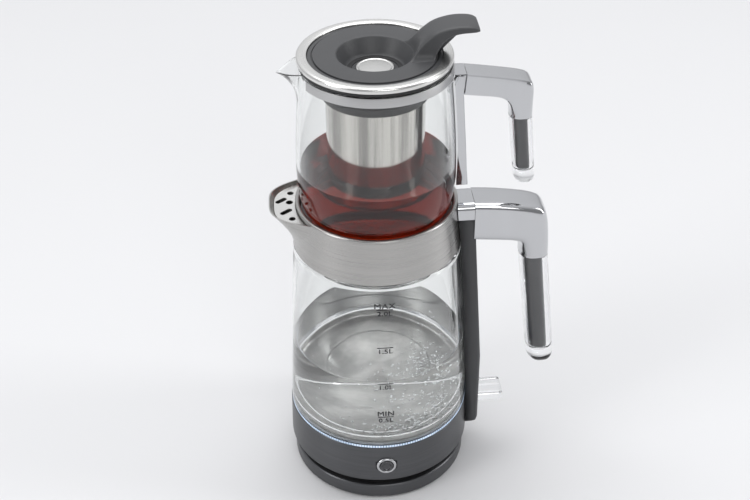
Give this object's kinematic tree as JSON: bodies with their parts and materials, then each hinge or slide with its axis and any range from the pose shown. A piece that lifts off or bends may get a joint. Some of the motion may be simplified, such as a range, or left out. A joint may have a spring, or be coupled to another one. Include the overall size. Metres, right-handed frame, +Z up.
{
  "type": "automatic tea maker",
  "caption": "Cordless glass kettle on a round power base, with a glass teapot nested in its steel collar, an infuser basket, a lid with a thumb lever and upright bar handles.",
  "frame": {"origin": "centre of the underside of the power base's bottom cover; the rubber feet reach 2 mm lower", "axes": "+Z up along the axis of the round bodies, +X towards the handles, -X towards the spouts, -Y towards the front with the button and the level marks"},
  "size_m": [0.2325, 0.1533, 0.4024],
  "materials": {
    "dark_steel": "dark brushed steel band and base ring",
    "steel": "brushed stainless steel",
    "mirror_steel": "polished stainless steel",
    "chrome": "bright plating on a moulded bar",
    "grey_plastic": "satin dark grey moulding",
    "black_plastic": "fine satin black moulding",
    "button_cap": "glossy dark button cap",
    "clear_plastic": "clear acrylic",
    "light_guide": "frosted clear ring, lit blue-white",
    "clear_glass": "clear borosilicate glass",
    "rubber": "matt rubber",
    "silicone": "translucent silicone",
    "brass": "plated contact metal",
    "circuit": "glass-fibre circuit board"
  },
  "bodies": {
    "power_base": {"base_trim_ring": "dark_steel", "base_housing": "black_plastic", "base_bottom_cover": "black_plastic", "base_foot_1": "rubber", "base_foot_2": "rubber", "base_foot_3": "rubber", "base_foot_4": "rubber", "base_terminal_block": "black_plastic", "cord_inlet": "rubber"},
    "base_plug": {"base_plug": "black_plastic", "plug_ring_contact": "brass", "plug_centre_pin": "brass"},
    "kettle": {"kettle_bottom_cover": "black_plastic", "cover_screw_1": "steel", "cover_screw_2": "steel", "cover_screw_3": "steel", "kettle_socket": "black_plastic", "socket_contact_ring": "brass", "control_unit": "black_plastic", "kettle_chassis": "black_plastic", "light_board": "circuit", "light_guide": "light_guide", "heating_element": "steel", "heater_plate": "steel", "plate_seal": "silicone", "kettle_base_band": "dark_steel", "kettle_glass": "clear_glass", "collar_seal": "silicone", "steel_collar": "steel", "spout_strainer": "steel", "teapot_seat_ring": "silicone", "handle_column": "grey_plastic", "column_cap": "chrome", "column_screw": "steel", "steam_tube": "silicone", "handle_bar": "chrome", "grip_sleeve": "clear_plastic", "grip_core": "grey_plastic", "switch_pin": "steel", "button_bezel": "chrome", "button_spring": "steel", "button_switch": "black_plastic", "button_board": "circuit"},
    "front_button": {"front_button": "button_cap"},
    "switch": {"switch_lever": "clear_plastic", "switch_hub": "black_plastic"},
    "teapot": {"teapot_glass": "clear_glass", "neck_band": "steel", "teapot_column": "chrome", "neck_screw": "steel", "teapot_handle_bar": "chrome", "teapot_grip_sleeve": "clear_plastic", "teapot_grip_core": "grey_plastic"},
    "infuser": {"infuser_carrier": "black_plastic", "infuser_basket": "mirror_steel"},
    "lid": {"lid_ring": "steel", "lid_disc": "grey_plastic", "lid_insert": "steel", "lid_skirt": "black_plastic", "lid_seal": "silicone"}
  },
  "joints": [
    {"name": "kettle_swivel", "type": "hinge", "parent": "power_base", "child": "base_plug", "pos_m": [0, 0, 0.0149], "axis": [0, 0, 1], "continuous": true},
    {"name": "kettle_lift", "type": "slide", "parent": "base_plug", "child": "kettle", "axis": [0, 0, 1], "range_m": [0, 0.12]},
    {"name": "teapot_lift", "type": "slide", "parent": "kettle", "child": "teapot", "axis": [0, 0, 1], "range_m": [0, 0.12]},
    {"name": "infuser_lift", "type": "slide", "parent": "teapot", "child": "infuser", "axis": [0, 0, 1], "range_m": [0, 0.12]},
    {"name": "lid_lift", "type": "slide", "parent": "infuser", "child": "lid", "axis": [0, 0, 1], "range_m": [0, 0.06]},
    {"name": "button_press", "type": "slide", "parent": "kettle", "child": "front_button", "axis": [0, 1, 0], "range_m": [0, 0.002], "stiffness_N_per_m": 400, "deforming": ["button_spring"]},
    {"name": "rocker_switch", "type": "hinge", "parent": "kettle", "child": "switch", "pos_m": [0.0805, 0, 0.0483], "axis": [0, 1, 0], "range_deg": [-12, 0]}
  ]
}
